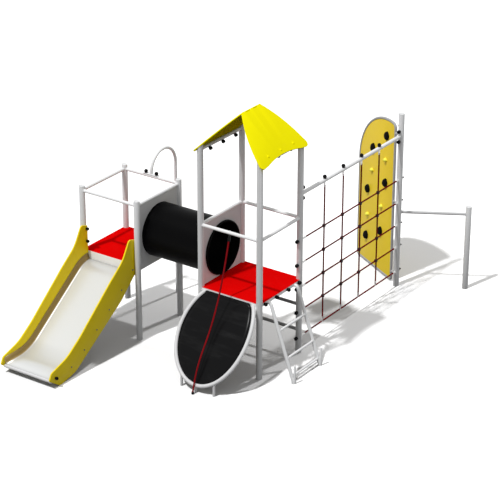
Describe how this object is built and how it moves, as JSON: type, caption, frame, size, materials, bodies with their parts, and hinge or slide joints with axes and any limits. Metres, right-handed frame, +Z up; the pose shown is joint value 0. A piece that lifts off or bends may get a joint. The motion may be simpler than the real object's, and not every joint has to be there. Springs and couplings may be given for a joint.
{
  "type": "climbing playset",
  "caption": "Two-tower playground climber with slide, crawl tunnel, gable roof, ramp with rope, ladder, rope net, climbing wall, pole and turning bar.",
  "frame": {"origin": "ground, at the centre of the foot of the slide tower's front left post", "axes": "+X along the tower fronts from the slide to the ladder, +Y from the slide towards the climbing wall, +Z up"},
  "size_m": [3.5014, 5.3688, 3.226],
  "materials": {
    "powder_coat_grey": "grey powder coat, satin",
    "powder_coat_pale": "light grey powder coat, satin",
    "bare_steel": "stainless steel tube",
    "chute_steel": "polished stainless sheet",
    "red_deck": "coated board",
    "yellow_board": "polyethylene board",
    "wall_board": "polyethylene board",
    "grey_board": "polyethylene board",
    "black_gloss": "glossy black",
    "black_plastic": "moulded plastic",
    "yellow_plastic": "moulded plastic",
    "red_rope": "dark red braided rope"
  },
  "bodies": {
    "root": {"slide_post_front_left": "powder_coat_grey", "slide_post_front_right": "powder_coat_grey", "slide_post_back_left": "powder_coat_grey", "slide_post_back_right": "powder_coat_grey", "slide_rail_front": "powder_coat_pale", "slide_rail_back": "powder_coat_pale", "slide_rail_left": "powder_coat_pale", "slide_rail_right": "powder_coat_pale", "slide_deck": "red_deck", "slide_deck_frame": "powder_coat_pale", "tunnel_panel_slide": "grey_board", "main_post_front_left": "powder_coat_grey", "main_post_front_right": "powder_coat_grey", "main_post_back_left": "powder_coat_grey", "main_post_back_right": "powder_coat_grey", "main_rail_front": "powder_coat_pale", "main_rail_back": "powder_coat_pale", "main_rail_left": "powder_coat_pale", "main_rail_right": "powder_coat_pale", "main_deck": "red_deck", "main_deck_frame": "powder_coat_pale", "tunnel_panel_main": "grey_board", "far_post": "powder_coat_grey", "outer_post": "powder_coat_grey", "main_back_rung_low": "powder_coat_grey", "main_back_rung_high": "powder_coat_grey", "turning_bar": "bare_steel", "tunnel_tube": "black_plastic", "roof_sheet_left": "yellow_board", "roof_sheet_right": "yellow_board", "roof_beam_left": "powder_coat_grey", "roof_beam_right": "powder_coat_grey", "roof_ridge_angle": "powder_coat_grey", "slide_side_left": "yellow_board", "slide_side_right": "yellow_board", "slide_chute": "chute_steel", "slide_lip": "bare_steel", "slide_riser": "powder_coat_pale", "ramp_frame": "powder_coat_pale", "ramp_panel": "black_gloss", "climbing_rope": "red_rope", "rope_ferrule": "black_plastic", "rope_anchor": "black_plastic", "ladder": "powder_coat_pale", "net_rail": "powder_coat_pale", "climbing_net": "red_rope", "wall_frame": "powder_coat_grey", "wall_panel": "wall_board", "hook_pole": "powder_coat_pale", "wall_hold_black_1": "black_plastic", "wall_hold_black_2": "black_plastic", "wall_hold_black_3": "black_plastic", "wall_hold_black_4": "black_plastic", "wall_hold_black_5": "black_plastic", "wall_hold_black_6": "black_plastic", "wall_hold_yellow_1": "yellow_plastic", "wall_hold_yellow_2": "yellow_plastic", "wall_hold_yellow_3": "yellow_plastic", "wall_hold_yellow_4": "yellow_plastic"}
  },
  "joints": []
}
